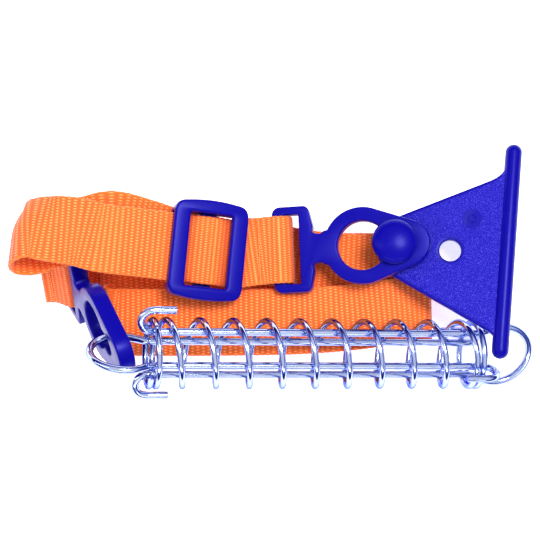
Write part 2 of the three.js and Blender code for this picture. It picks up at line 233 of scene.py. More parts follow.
# %% Moulded plastic
def moulded_plastic(name, body, worn, roughness, grain_mm, grain_depth, speck=None):
    material, tree, shader = new_material(name)
    at = add(tree, "ShaderNodeTexCoord").outputs["Object"]
    cloud = add(tree, "ShaderNodeTexNoise", {"Vector": at, "Scale": 1 / (14 * MM), "Detail": 3.0})
    edges = add(tree, "ShaderNodeNewGeometry").outputs["Pointiness"]
    rubbed = add(tree, "ShaderNodeMapRange", {"Value": edges, "From Min": 0.52, "From Max": 0.6})
    tone = add(tree, "ShaderNodeMapRange", {"Value": cloud.outputs["Fac"], "To Min": 0.0, "To Max": 0.22})
    wear = add(tree, "ShaderNodeMath", {0: rubbed.outputs[0], 1: tone.outputs[0]}, operation="MAXIMUM")
    colour = add(tree, "ShaderNodeMix", {0: wear.outputs[0], 6: linear(body), 7: linear(worn)},
                 data_type="RGBA")
    paint = colour.outputs[2]
    grain = add(tree, "ShaderNodeTexNoise", {"Vector": at, "Scale": 1 / (grain_mm * MM), "Detail": 2.0})
    if speck:
        pits = add(tree, "ShaderNodeMapRange", {"Value": grain.outputs["Fac"], "From Min": 0.54,
                                                "From Max": 0.66})
        dots = add(tree, "ShaderNodeMix", {0: pits.outputs[0], 6: paint, 7: linear(speck)}, data_type="RGBA")
        paint = dots.outputs[2]
    tree.links.new(paint, shader.inputs["Base Color"])
    dull = add(tree, "ShaderNodeMapRange", {"Value": cloud.outputs["Fac"], "To Min": roughness - 0.07,
                                            "To Max": roughness + 0.08})
    tree.links.new(dull.outputs[0], shader.inputs["Roughness"])
    bump = add(tree, "ShaderNodeBump", {"Height": grain.outputs["Fac"], "Strength": 0.5,
                                        "Distance": grain_depth * MM})
    tree.links.new(bump.outputs[0], shader.inputs["Normal"])
    shader.inputs["IOR"].default_value = 1.49
    shader.inputs["Specular IOR Level"].default_value = 0.2
    shader.inputs["Specular Tint"].default_value = linear("#A0A0FF")
    return material


POLISHED = moulded_plastic("polypropylene_polished", "#08037E", "#10088A", 0.3, 0.9, 0.03)
ERODED = moulded_plastic("polypropylene_spark_eroded", "#110A8C", "#160F94", 0.5, 0.3, 0.3, speck="#4843C4")

# %% [markdown]
# ## Bright zinc plate
# The spring and its drawbars are hard-drawn steel wire with bright zinc plate, passivated blue. It is a
# mirror that has been drawn through a die: long faint draw lines and small dull patches. Its bluish tint,
# strongest at the edge, is partly the passivate's own colour and partly a painted reflection of the blue
# plastic and surroundings.

# %% Zinc-plated wire
ZINC, tree, shader = new_material("bright_zinc_plated_steel")
at = add(tree, "ShaderNodeTexCoord").outputs["Object"]
patches = add(tree, "ShaderNodeTexNoise", {"Vector": at, "Scale": 1 / (5 * MM), "Detail": 4.0})
tint = add(tree, "ShaderNodeMix", {0: patches.outputs["Fac"], 6: linear("#C8D2E6"), 7: linear("#9CACDA")},
           data_type="RGBA")
tree.links.new(tint.outputs[2], shader.inputs["Base Color"])
dull = add(tree, "ShaderNodeMapRange", {"Value": patches.outputs["Fac"], "To Min": 0.05, "To Max": 0.2})
tree.links.new(dull.outputs[0], shader.inputs["Roughness"])
scratch = add(tree, "ShaderNodeTexNoise", {"Vector": at, "Scale": 1 / (0.5 * MM), "Detail": 3.0})
bump = add(tree, "ShaderNodeBump", {"Height": scratch.outputs["Fac"], "Strength": 0.12,
                                    "Distance": 0.02 * MM})
tree.links.new(bump.outputs[0], shader.inputs["Normal"])
shader.inputs["Metallic"].default_value = 1.0
# The blue edge tint is partly the passivate's colour and partly a painted reflection of blue surroundings.
shader.inputs["Specular Tint"].default_value = linear("#7C8CFF")

# %% [markdown]
# ## Woven webbing
# Polypropylene webbing is a heavy plain weave. Fat weft ribs cross it every 2 mm, and the warp yarns ride
# over them as short floats, about 1 mm apart. The weave's colour is painted light: painted shade in the gaps
# between floats and a painted highlight on their tops, mixed with the dye's own uneven tone. The mesh carries
# its own length and width as a map, so the weave follows every fold. Two values painted on the mesh go with
# it:
# `pressed` is 1 where an old crease has drawn the floats into one line, shiny by its lower roughness and by
# the same painted highlight, and `tight` is 1 where the strap is sewn double and looks finer. The strap's edge
# band is painted a little darker, as shade that outlines each layer, and the cloth in deep crevices is painted
# darker as shade, where light gets in only after many bounces off orange.

# %% Webbing and thread
RIB = 2.0
WARP = 1.06


def wave(tree, along, period):
    """A row of soft bumps, 0 to 1, one for each period of the value."""
    turns = add(tree, "ShaderNodeMath", {0: along, 1: 2 * math.pi / period}, operation="MULTIPLY")
    swing = add(tree, "ShaderNodeMath", {0: turns.outputs[0]}, operation="COSINE")
    return add(tree, "ShaderNodeMapRange", {"Value": swing.outputs[0], "From Min": -1.0}).outputs[0]


WEBBING, tree, shader = new_material("woven_polypropylene_webbing")
weave_map = add(tree, "ShaderNodeUVMap", uv_map="weave")
parts = add(tree, "ShaderNodeSeparateXYZ", {0: weave_map.outputs[0]})
tight = add(tree, "ShaderNodeAttribute", attribute_name="tight").outputs["Fac"]
pressed = add(tree, "ShaderNodeAttribute", attribute_name="pressed").outputs["Fac"]
finer = add(tree, "ShaderNodeMapRange", {"Value": tight, "To Min": 1.0, "To Max": 1.16}).outputs[0]
length = add(tree, "ShaderNodeMath", {0: parts.outputs[0], 1: finer}, operation="MULTIPLY").outputs[0]
width = add(tree, "ShaderNodeMath", {0: parts.outputs[1], 1: finer}, operation="MULTIPLY").outputs[0]
ribs = wave(tree, length, RIB)
rib_number = add(tree, "ShaderNodeMath", {0: length, 1: RIB}, operation="DIVIDE").outputs[0]
rib_number = add(tree, "ShaderNodeMath", {0: rib_number}, operation="ROUND").outputs[0]
other = add(tree, "ShaderNodeMath", {0: rib_number, 1: 2.0}, operation="FLOORED_MODULO").outputs[0]
step = add(tree, "ShaderNodeMath", {0: other, 1: WARP / 2, 2: width}, operation="MULTIPLY_ADD").outputs[0]
floats = wave(tree, step, WARP)
shown = add(tree, "ShaderNodeMath", {0: floats, 1: pressed}, operation="MAXIMUM").outputs[0]
height = add(tree, "ShaderNodeMath", {0: ribs, 1: shown}, operation="MULTIPLY").outputs[0]
side = add(tree, "ShaderNodeMath", {0: parts.outputs[1]}, operation="ABSOLUTE").outputs[0]
# The strap's edge band is painted a little darker, as shade that outlines each layer.
edge_shade_mask = add(tree, "ShaderNodeMapRange", {"Value": side, "From Min": 11.7, "From Max": 12.3}).outputs[0]
cloth_at = add(tree, "ShaderNodeTexCoord").outputs["Object"]
fuzz = add(tree, "ShaderNodeTexNoise", {"Vector": cloth_at, "Scale": 1 / (0.35 * MM), "Detail": 2.0})
fuzz = fuzz.outputs["Fac"]
cloud = add(tree, "ShaderNodeTexNoise", {"Vector": cloth_at, "Scale": 1 / (11 * MM), "Detail": 3.0})
cloud = cloud.outputs["Fac"]
# The weave's colour is painted light: painted shade in the gaps between floats and a painted highlight on
# their tops.
weave_light_ramp = add(tree, "ShaderNodeValToRGB", {"Fac": height})
weave_light_ramp.color_ramp.elements[0].color = linear("#E04C08")
weave_light_ramp.color_ramp.elements[1].color = linear("#FFC690")
for where, colour in ((0.35, "#F96C14"), (0.75, "#FF8A30")):
    weave_light_ramp.color_ramp.elements.new(where).color = linear(colour)
uneven = add(tree, "ShaderNodeMapRange", {"Value": cloud, "To Min": 0.0, "To Max": 0.4}).outputs[0]
# The dye's own uneven tone is mixed into the painted weave light.
dye_and_weave_light = add(tree, "ShaderNodeMix", {0: uneven, 6: weave_light_ramp.outputs[0], 7: linear("#FF7A1C")}, data_type="RGBA")
with_edge_shade = add(tree, "ShaderNodeMix", {0: edge_shade_mask, 6: dye_and_weave_light.outputs[2], 7: linear("#F27018")}, data_type="RGBA")
crevice = add(tree, "ShaderNodeAmbientOcclusion", {"Distance": 8 * MM}, samples=8).outputs["AO"]
depth = add(tree, "ShaderNodeMapRange", {"Value": crevice, "From Min": 0.25, "From Max": 0.8}).outputs[0]
deep = add(tree, "ShaderNodeMix", {0: depth, 6: linear("#B02C00"), 7: with_edge_shade.outputs[2]}, data_type="RGBA")
tree.links.new(deep.outputs[2], shader.inputs["Base Color"])
rough = add(tree, "ShaderNodeMapRange", {"Value": height, "To Min": 0.85, "To Max": 0.5})
tree.links.new(rough.outputs[0], shader.inputs["Roughness"])
yarn = add(tree, "ShaderNodeMath", {0: fuzz, 1: 0.25, 2: height}, operation="MULTIPLY_ADD").outputs[0]
bump = add(tree, "ShaderNodeBump", {"Height": yarn, "Strength": 0.9, "Distance": 0.22 * MM})
tree.links.new(bump.outputs[0], shader.inputs["Normal"])
shader.inputs["Sheen Weight"].default_value = 0.15

THREAD, tree, shader = new_material("polyester_sewing_thread")
at = add(tree, "ShaderNodeTexCoord").outputs["Object"]
ply = add(tree, "ShaderNodeTexWave", {"Vector": at, "Scale": 1 / (1.2 * MM), "Distortion": 1.0})
ply = ply.outputs["Fac"]
shade = add(tree, "ShaderNodeMix", {0: ply, 6: linear("#E2600F"), 7: linear("#FFB060")}, data_type="RGBA")
tree.links.new(shade.outputs[2], shader.inputs["Base Color"])
bump = add(tree, "ShaderNodeBump", {"Height": ply, "Strength": 0.5, "Distance": 0.08 * MM})
tree.links.new(bump.outputs[0], shader.inputs["Normal"])
shader.inputs["Roughness"].default_value = 0.55

# %% [markdown]
# ## Helpers for shapes
# Three ways of making a mesh are enough here. A moulding is an outline with holes, thickened and rounded at
# its edges, which a filled 2-D curve does in one step. A turned shape is a profile spun about an axis. A wire
# is a round section swept along a smooth line. All of them are drawn in millimetres in the piece's frame.

# %% Finished pieces
def finish_piece(name, bm, material, body, replaced, sharp_deg=35):
    """Makes an object of a mesh drawn in the drawing's millimetres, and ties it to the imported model."""
    bmesh.ops.remove_doubles(bm, verts=bm.verts, dist=1e-4)
    bmesh.ops.recalc_face_normals(bm, faces=bm.faces)
    for vertex in bm.verts:
        vertex.co = place(vertex.co)
    mesh = bpy.data.meshes.new(name)
    bm.to_mesh(mesh)
    bm.free()
    mesh.shade_smooth()
    mesh.set_sharp_from_angle(angle=math.radians(sharp_deg))
    for entry in material if isinstance(material, list) else [material]:
        mesh.materials.append(entry)
    piece = bpy.data.objects.new(name, mesh)
    bpy.context.scene.collection.objects.link(piece)
    if body:
        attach(piece, body)
    if replaced:
        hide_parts(*replaced)
    print(f"{name}: {len(mesh.vertices)} vertices, {len(mesh.polygons)} faces")
    return piece


def arc(cx, cy, radius, start, stop, steps):
    """Points of an arc, in degrees, ends included."""
    angles = [math.radians(start + (stop - start) * i / steps) for i in range(steps + 1)]
    return [Vector((cx + radius * math.cos(a), cy + radius * math.sin(a))) for a in angles]


def moulding(outline, holes, low, high, round_mm, matrix):
    """A closed slab of the outline, from low to high, with rounded edges, as a bmesh."""
    curve = bpy.data.curves.new("moulding", "CURVE")
    curve.dimensions = "2D"
    curve.fill_mode = "BOTH"
    curve.extrude = (high - low) / 2 - round_mm
    curve.bevel_depth = round_mm
    curve.bevel_resolution = 3
    curve.offset = -round_mm
    for ring in [outline, *holes]:
        spline = curve.splines.new("POLY")
        spline.points.add(len(ring) - 1)
        for point, where in zip(spline.points, ring):
            point.co = (where[0], where[1], 0, 1)
        spline.use_cyclic_u = True
    holder = bpy.data.objects.new("moulding", curve)
    mesh = bpy.data.meshes.new_from_object(holder)
    bm = bmesh.new()
    bm.from_mesh(mesh)
    bpy.data.objects.remove(holder)
    bpy.data.curves.remove(curve)
    bpy.data.meshes.remove(mesh)
    bmesh.ops.remove_doubles(bm, verts=bm.verts, dist=1e-4)
    bm.transform(matrix @ Matrix.Translation((0, 0, (high + low) / 2)))
    bmesh.ops.recalc_face_normals(bm, faces=bm.faces)
    return bm


def block(x0, x1, y0, y1, z0, z1, matrix):
    bm = bmesh.new()
    size = Matrix.Diagonal((x1 - x0, y1 - y0, z1 - z0, 1))
    middle = Matrix.Translation(((x0 + x1) / 2, (y0 + y1) / 2, (z0 + z1) / 2))
    bmesh.ops.create_cube(bm, size=1, matrix=matrix @ middle @ size)
    return bm


def spun(profile, matrix, steps=64):
    """A profile of radius and height spun about z. It starts and ends on the axis, or closes on itself."""
    bm = bmesh.new()
    rings = []
    for radius, height in profile:
        count = 1 if radius < 1e-6 else steps
        turns = [2 * math.pi * i / steps for i in range(count)]
        rings.append([bm.verts.new((radius * math.cos(t), radius * math.sin(t), height)) for t in turns])
    closed = len(rings[0]) > 1
    pairs = list(zip(rings, rings[1:])) + ([(rings[-1], rings[0])] if closed else [])
    for low, high in pairs:
        for i in range(steps):
            j = (i + 1) % steps
            corners = [low[i % len(low)], low[j % len(low)], high[j % len(high)], high[i % len(high)]]
            bm.faces.new(dict.fromkeys(corners))
    bm.transform(matrix)
    bmesh.ops.recalc_face_normals(bm, faces=bm.faces)
    return bm


def combined(first, second, operation):
    """The union or difference of two closed shapes. Faces of the second keep their material number."""
    holders = []
    for bm in (first, second):
        mesh = bpy.data.meshes.new("part")
        bm.to_mesh(mesh)
        bm.free()
        for stand_in in (POLISHED, ERODED):
            mesh.materials.append(stand_in)
        holders.append(bpy.data.objects.new("part", mesh))
        bpy.context.scene.collection.objects.link(holders[-1])
    modifier = holders[0].modifiers.new("cut", "BOOLEAN")
    modifier.operation = operation
    modifier.solver = "EXACT"
    modifier.object = holders[1]
    bpy.context.view_layer.update()
    made = holders[0].evaluated_get(bpy.context.evaluated_depsgraph_get()).to_mesh()
    bm = bmesh.new()
    bm.from_mesh(made)
    for holder in holders:
        bpy.data.objects.remove(holder)
    return bm


def joined(first, second):
    """Both closed shapes in one mesh, each keeping its own faces."""
    mesh = bpy.data.meshes.new("part")
    second.to_mesh(mesh)
    second.free()
    first.from_mesh(mesh)
    bpy.data.meshes.remove(mesh)
    return first


# %% Smooth lines and wires
def smooth_line(points, step):
    """Points about one step apart on a centripetal spline through the given points."""
    points = [Vector(p) for p in points]
    padded = [2 * points[0] - points[1], *points, 2 * points[-1] - points[-2]]
    line = []
    for a, b, c, d in zip(padded, padded[1:], padded[2:], padded[3:]):
        knots = [0.0]
        for p, q in ((a, b), (b, c), (c, d)):
            knots.append(knots[-1] + max((q - p).length, 1e-6) ** 0.5)
        count = max(1, round((c - b).length / step))
        for i in range(count):
            t = knots[1] + (knots[2] - knots[1]) * i / count
            l1 = (a * (knots[1] - t) + b * (t - knots[0])) / (knots[1] - knots[0])
            l2 = (b * (knots[2] - t) + c * (t - knots[1])) / (knots[2] - knots[1])
            l3 = (c * (knots[3] - t) + d * (t - knots[2])) / (knots[3] - knots[2])
            m1 = (l1 * (knots[2] - t) + l2 * (t - knots[0])) / (knots[2] - knots[0])
            m2 = (l2 * (knots[3] - t) + l3 * (t - knots[1])) / (knots[3] - knots[1])
            line.append((m1 * (knots[2] - t) + m2 * (t - knots[1])) / (knots[2] - knots[1]))
    line.append(points[-1])
    return line


def wire(line, radius, matrix, sides=16, nose=0.25):
    """A round wire along a line, its cut ends eased by a small chamfer."""
    bm = bmesh.new()
    ways = [(line[min(i + 1, len(line) - 1)] - line[max(i - 1, 0)]).normalized() for i in range(len(line))]
    side = ways[0].orthogonal().normalized()
    stations = [(line[0], ways[0], radius - nose)]
    stations += [(p, w, radius) for p, w in zip(line, ways)]
    stations.append((line[-1], ways[-1], radius - nose))
    stations[1] = (line[0] + nose * ways[0], ways[0], radius)
    stations[-2] = (line[-1] - nose * ways[-1], ways[-1], radius)
    rings = []
    for point, way, size in stations:
        side = (side - side.dot(way) * way).normalized()
        up = way.cross(side)
        turns = [2 * math.pi * i / sides for i in range(sides)]
        rings.append([bm.verts.new(point + size * (math.cos(t) * side + math.sin(t) * up)) for t in turns])
    for low, high in zip(rings, rings[1:]):
        for i in range(sides):
            j = (i + 1) % sides
            bm.faces.new((low[i], low[j], high[j], high[i]))
    bm.faces.new(rings[0])
    bm.faces.new(rings[-1])
    bm.transform(matrix)
    return bm


# %% [markdown]
# ## Connectors
# Each connector is one moulding: a slot body whose slim bar the strap is sewn round, a neck, and a ring with
# a keyhole. The outline is arcs and a few corners, the edges are rounded by 0.7 mm, and the bar is thinned by
# cutting, so that the sewn loop can turn on it.

# %% Connector
RING_HOLE, RING_OUTER = 9.15, 14.25
KEY_END, KEY_HALF = 11.7, 4.3
SLOT, SLOT_HALF = (-28.3, -23.2), 12.9


def connector_outline():
    upper = [
        *arc(-30.1, 13.0, 3.0, 180, 90, 8),
        *arc(-21.5, 13.7, 2.3, 90, 15, 6),
        Vector((-18.0, 8.2)),
        *arc(-16.5, 7.45, 2.1, 205, 270, 4),
        *arc(-15.9, 7.0, 1.8, 285, 330, 3),
        *arc(0, 0, RING_OUTER, 153, 74, 26),
        *arc(16.5, 0, 8.5, 70, 0, 14),
    ]
    return upper + [Vector((p.x, -p.y)) for p in reversed(upper[:-1])]


def connector(name, matrix, body):
    narrow = math.degrees(math.asin(KEY_HALF / RING_HOLE))
    keyhole = arc(0, 0, RING_HOLE, narrow, 360 - narrow, 60) + arc(KEY_END, 0, KEY_HALF, -90, 90, 20)
    left, right = SLOT
    corners = ((left, -SLOT_HALF), (right, -SLOT_HALF), (right, SLOT_HALF), (left, SLOT_HALF))
    slot = [Vector(p) for p in corners]
    bm = moulding(connector_outline(), [keyhole, slot], -3, 3, 0.7, matrix)
    for low, high in ((2.2, 4), (-4, -2.2)):
        bm = combined(bm, block(-36, -27.8, -SLOT_HALF, SLOT_HALF, low, high, matrix), "DIFFERENCE")
    return finish_piece(name, bm, POLISHED, body, [body_node[name]])


body_node = {"connector_right_moulding": "connector_right", "connector_left_moulding": "connector_left"}
connector("connector_right_moulding", RING_RIGHT, "right_connector")
connector("connector_left_moulding", RING_LEFT, "left_connector")

# %% [markdown]
# ## Slider
# The slider is a three-bar adjuster. Its two outer bars lie over the strap and its centre bar under it, so
# that the strap humps up in the window. The frame's ends bow outwards. It is made of three closed shapes,
# joined: the rounded frame, the two end walls, and the centre bar.

# %% Slider
def slider_outline(half_wide, half_long, corner, bow):
    quarter = [Vector((half_wide, 0.0))]
    for i in range(9):
        t = i / 8
        start = Vector((half_wide, half_long - corner))
        turn = Vector((half_wide, half_long + 0.3 * bow))
        stop = Vector((half_wide - corner, half_long + 0.45 * bow))
        quarter.append((1 - t) ** 2 * start + 2 * t * (1 - t) * turn + t * t * stop)
    rest = half_wide - corner
    for i in range(1, 7):
        left = 1 - i / 6
        quarter.append(Vector((rest * left, half_long + bow * (1 - 0.55 * left**2))))
    mirrored = [Vector((-p.x, p.y)) for p in reversed(quarter[:-1])]
    top = quarter + mirrored
    return top + [Vector((p.x, -p.y)) for p in reversed(top[1:-1])]


WINDOW = (8.0, 13.5)
wide, long = WINDOW
outline = slider_outline(14, 17, 4.4, 1.4)
window = arc(wide - 0.8, long - 0.8, 0.8, 0, 90, 4) + arc(0.8 - wide, long - 0.8, 0.8, 90, 180, 4)
window += [Vector((p.x, -p.y)) for p in reversed(window)]
bm = moulding(outline, [window], 1.0, 4.2, 0.95, TOP_RUN)
for side in (1, -1):
    end = [Vector((p.x * 0.97, side * p.y * 0.985)) for p in outline if p.y > 13.6]
    end = [Vector((13.6, side * long))] + end + [Vector((-13.6, side * long))]
    bm = combined(bm, moulding(end, [], -3.9, 2.6, 0.7, TOP_RUN), "UNION")
bm = combined(bm, block(-3, 3, -14.5, 14.5, -3.6, -1.0, TOP_RUN), "UNION")
finish_piece("slider_moulding", bm, POLISHED, "slider", ["slider"])

# %% [markdown]
# ## T-plate and stud
# The T-plate is a tapered plate moulded in one with a keder rod, which slides in an awning rail. Its face is
# spark-eroded inside a polished border, so the grained field is a slab of its own that stands 0.12 mm proud,
# with holes where the polished base shows: the screw hole's rim and the round gate mark. The stud is spun.
# The base, the slab, the rod and the mark's ring are closed shapes that sit in each other in one mesh.

# %% T-plate
def plate_outline(inset):
    slope, apex = 0.4745, -24.3
    edge = lambda x: slope * (x - apex) - 1.12 * inset
    face = 39.8 - 0.4 * inset
    nose = arc(6.2, 0, 12.7 - inset, 244, 116, 24)
    start, turn = Vector((33.4, edge(33.4))), Vector((face - 0.5, edge(face - 0.5)))
    stop = turn + Vector((0, 5.4))
    steps = [i / 9 for i in range(10)]
    fillet = [(1 - t) ** 2 * start + 2 * t * (1 - t) * turn + t * t * stop for t in steps]
    low = [Vector((face, -edge(40.8) - 0.6)), Vector((36.9, -edge(36.9)))]
    return nose + fillet + [Vector((face, stop.y + 1.6)), *low]


HOLE_AT, HOLE = 20.6, 4.0
MARK_AT, MARK = Vector((27.7, 12.4)), 3.6
rod_x, rod_r, rod_low, rod_high = 41.4, 3.1, -38.6, 42.0
hole = arc(HOLE_AT, 0, HOLE, 0, 352.5, 47)
shank = arc(0, 0, 2.8, 0, 345, 23)
bm = moulding(plate_outline(0), [hole, shank], -1.5, 1.42, 0.55, PLATE)
margin = arc(HOLE_AT, 0, HOLE + 1.2, 0, 352.5, 47)
mark = arc(MARK_AT.x, MARK_AT.y, MARK, 0, 352.5, 47)
face = moulding(plate_outline(1.1), [margin, mark], 1.1, 1.54, 0.06, PLATE)
for polygon in face.faces:
    polygon.material_index = 1
bm = joined(bm, face)
profile = [Vector((p.x, p.y + rod_low + rod_r)) for p in arc(0, 0, rod_r, -90, 0, 10)]
profile += [Vector((p.x, p.y + rod_high - rod_r)) for p in arc(0, 0, rod_r, 0, 90, 10)]
profile[0].x = profile[-1].x = 0
lie_down = Matrix.Translation((rod_x, 0, 0)) @ Matrix.Rotation(-math.pi / 2, 4, "X")
bm = joined(bm, spun(profile, PLATE @ lie_down, 40))
ring = [p + Vector((1.5, 0)) for p in arc(0, 1.42, 0.16, 0, 330, 11)]
bm = joined(bm, spun(ring, PLATE @ Matrix.Translation((*MARK_AT, 0)), 40))
finish_piece("t_plate_moulding", bm, [POLISHED, ERODED], "t_plate", ["t_plate"], sharp_deg=30)

# %% Stud
UNDER_HEAD = 10.0
head = [Vector((8.25 * math.cos(math.radians(a)), UNDER_HEAD + 0.9 + 3.3 * math.sin(math.radians(a)) ** 1.15))
        for a in range(0, 91, 6)]
head[-1].x = 0
foot = ((0, -3.0), (4.1, -3.0), (4.6, -2.6), (4.6, -1.8), (2.6, -1.8), (2.6, 1.8), (3.5, 1.8))
neck = ((3.5, UNDER_HEAD), (7.7, UNDER_HEAD), (8.1, UNDER_HEAD + 0.3))
profile = [Vector(p) for p in (*foot, *neck)] + head
finish_piece("stud_moulding", spun(profile, PLATE, 72), POLISHED, "t_plate", ["stud"])

# %% [markdown]
# ## Spring and drawbars
# A drawbar spring works in compression when it is pulled. Each drawbar is one wire that starts as a hook over
# the coil's far end, runs through the coil, turns round a ring, and comes back to a second hook. The coil's
# end turns are closed, so that the hooks bear on them.

# %% Drawbars
WIRE = 1.4
LEG, ARM, RING, HOOK_AT, RING_AT = 8.8, 17.5, 11.85, 61.0, 70.7


def drawbar_line():
    reach = math.sqrt(RING**2 - LEG**2)
    opening = math.degrees(math.atan2(LEG, -reach))
    half = [Vector((-HOOK_AT + 8, ARM)), Vector((-HOOK_AT + 4, ARM))]
    half += arc(-HOOK_AT, (LEG + ARM) / 2, (ARM - LEG) / 2, 90, 270, 6)
    half += [Vector((x, LEG)) for x in (-HOOK_AT + 6, -20, 20, RING_AT - reach - 6)]
    half += [Vector((RING_AT - reach - 1.5, LEG + 0.05))]
    half += arc(RING_AT, 0, RING, opening - 12, 0, 7)
    points = half + [Vector((p.x, -p.y)) for p in reversed(half[:-1])]
    return smooth_line([p.to_3d() for p in points], 1.0)


flipped = Matrix.Rotation(math.pi, 4, "Z") @ Matrix.Rotation(math.pi / 2, 4, "X")
for name, turn in (("drawbar_a", Matrix.Identity(4)), ("drawbar_b", flipped)):
    bm = wire(drawbar_line(), WIRE, SPRING @ turn)
    finish_piece(name + "_wire", bm, ZINC, name, [name], sharp_deg=40)

# %% Coil
COIL_WIRE, COIL_RADIUS, HALF_LENGTH, TURNS, CLOSED = 1.15, 11.85, 61.8, 12.3, 1.4
PHASE = math.radians(105)


def coil_point(turn):
    closed_pitch = 2 * COIL_WIRE + 0.25
    open_pitch = (2 * HALF_LENGTH - 2 * CLOSED * closed_pitch) / (TURNS - 2 * CLOSED)
    x = min(turn, CLOSED) * closed_pitch + min(max(turn - CLOSED, 0), TURNS - 2 * CLOSED) * open_pitch
    x += max(turn - TURNS + CLOSED, 0) * closed_pitch
    angle = turn * 2 * math.pi + PHASE
    return Vector((x - HALF_LENGTH, COIL_RADIUS * math.cos(angle), COIL_RADIUS * math.sin(angle)))


line = [coil_point(i / 56) for i in range(int(TURNS * 56) + 1)]
bm = wire(line, COIL_WIRE, SPRING)
coil = finish_piece("coil_wire", bm, ZINC, "drawbar_b", ["coil"], sharp_deg=40)
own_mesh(coil)

# %% [markdown]
# ## The strap
# The strap is one ribbon, 25 mm wide and 1.4 mm thick, and a simulation would only blur where it lies, so it
# is modelled directly. Its middle line is a list of stations given along each run, joined by folds.
# A station says where the middle is, how the strap is turned in the ground plan, and how it tips across. On
# the slanting left fold it is easier to say where the strap's two edges are.

# %% Stations of the strap
WIDTH, THICK = 25.0, 1.4


def station(x, y, z, yaw=0.0, tip=0.0):
    """The strap's middle, and the direction across it, towards its far edge."""
    across = Vector((-math.sin(math.radians(yaw)), math.cos(math.radians(yaw)), math.tan(math.radians(tip))))
    return Vector((x, y, z)), across.normalized()


def on(matrix, x, z, y=0.0):
    """A station in a turned frame, square across it."""
    return matrix @ Vector((x, y, z)), matrix.to_3x3() @ Vector((0, 1, 0))


def edges(near, far):
    """A station given by its near and far edge."""
    near, far = Vector(near), Vector(far)
    return (near + far) / 2, (far - near).normalized()


def fold(before, after, reach, steps=5):
    """Stations of a round fold between the end of one run and the start of the next."""
    (p, a), (q, b) = before, after
    middle, half = (p + q) / 2, (p - q) / 2
    way = Vector((1, 0, 0)) * reach
    made = []
    for i in range(1, steps):
        t = math.pi * i / steps
        made.append((middle + half * math.cos(t) + way * math.sin(t), a.lerp(b, i / steps).normalized()))
    return made


RIGHT_LOOP = [on(LOOP_RIGHT, x, z) for x, z in ((-15.0, -1.6), (-12.0, -1.1), (-9.0, -0.8), (-6.6, -1.2))]
RIGHT_LOOP += [on(LOOP_RIGHT, p.x, p.y) for p in arc(0, 0, 4.3, -122, 122, 9)]
RIGHT_LOOP += [on(LOOP_RIGHT, -6.6, 1.2)]
TOP = [on(TOP_RUN, x, z) for x, z in ((10.0, -0.25), (7.6, -0.2), (4.0, 1.2), (0.0, 2.0), (-4.0, 1.2),
                                      (-7.6, -0.2), (-10.0, -0.25), (-14.0, -0.1), (-24.0, 0.0), (-40.0, 0.0))]
LEFT_FOLD = [
    edges((-68.5, 1.4, 43.4), (-69.6, 26.0, 40.6)), edges((-77.9, 3.0, 48.0), (-78.1, 27.0, 42.2)),
    edges((-85.6, 4.7, 50.0), (-84.6, 27.0, 40.0)), edges((-90.0, 4.0, 49.0), (-89.0, 25.4, 38.4)),
    edges((-92.6, 2.0, 45.4), (-91.6, 23.6, 35.0)), edges((-92.4, -0.4, 41.0), (-91.4, 21.6, 31.0)),
    edges((-89.4, -1.2, 37.6), (-88.6, 21.0, 28.0)), edges((-85.0, -0.6, 35.6), (-84.2, 21.6, 26.6)),
    edges((-79.4, 1.6, 34.8), (-76.4, 23.8, 28.4)), edges((-64.6, 2.6, 33.4), (-67.2, 26.8, 30.0)),
    edges((-58.4, 4.0, 30.2), (-57.1, 28.8, 30.6)), edges((-48.5, 1.6, 25.4), (-44.5, 25.8, 26.0)),
    edges((-39.6, -1.2, 21.6), (-35.6, 22.9, 22.6)), station(-27.0, 8.6, 17.6, -9),
    station(-18.0, 6.9, 14.6, -6),
]
RUN_1 = LEFT_FOLD + [station(-8.0, 5.4, 11.6, -4), station(5.0, 4.0, 10.4, -3),
                     station(22.0, 1.6, 10.2, -2), station(44.0, 0.6, 9.6)]
RUN_2 = [station(46.0, 1.3, 8.1), station(15.0, 1.4, 8.6), station(-15.0, 1.2, 9.4), station(-45.0, 0.6, 12.4),
         station(-57.0, 0.2, 13.2)]
RUN_3 = [station(-58.0, -0.2, 6.2), station(-45.0, 0.2, 6.6), station(-15.0, 1.2, 6.4),
         station(15.0, 1.6, 6.8), station(44.0, 1.4, 6.6)]
RUN_4 = [station(45.0, 1.0, 5.1, 3), station(22.0, -2.6, 5.2, 8), station(-8.0, -8.6, 7.6, 11),
         station(-38.0, -15.0, 12.0, 9), station(-55.0, -17.0, 12.6, 5)]
RUN_5 = [station(-55.4, -19.4, 18.2, 0, 2), station(-40.0, -19.5, 18.9, 0, 3),
         station(-24.0, -19.5, 18.5, 0, 3), station(-8.0, -19.4, 17.8, 0, 4),
         station(12.0, -19.0, 16.2, 2, 6), station(30.0, -17.8, 14.2, 4, 8),
         station(44.0, -16.0, 12.2, 6, 9), station(56.4, -14.4, 8.8, 6, 6)]
RUN_6 = [station(57.0, -14.0, 4.4, -2, 2), station(30.0, -16.0, 3.7, 2), station(0.0, -17.6, 5.2, 3),
         station(-30.0, -18.0, 8.0, 1), station(-53.0, -18.6, 8.8, 0)]
RUN_7 = [station(-52.0, -18.0, 4.4, 0), station(-20.0, -17.0, 3.4, 2), station(20.0, -15.6, 2.25, 3),
         station(52.0, -14.4, 2.25, 3)]
RUN_8 = [station(52.0, -14.0, 0.75, 4), station(20.0, -14.6, 0.75, 4), station(-15.0, -11.0, 0.75, 8),
         station(-45.0, -2.4, 0.75, 8), station(-60.0, 1.4, 0.75, 4), station(-73.0, 2.8, 1.1, 4)]
LEFT_TURN = [station(-78.4, 3.0, 2.0, 5, 1), station(-82.2, 2.4, 4.8, 5, 8), station(-82.8, 1.2, 7.8, 5, 24)]
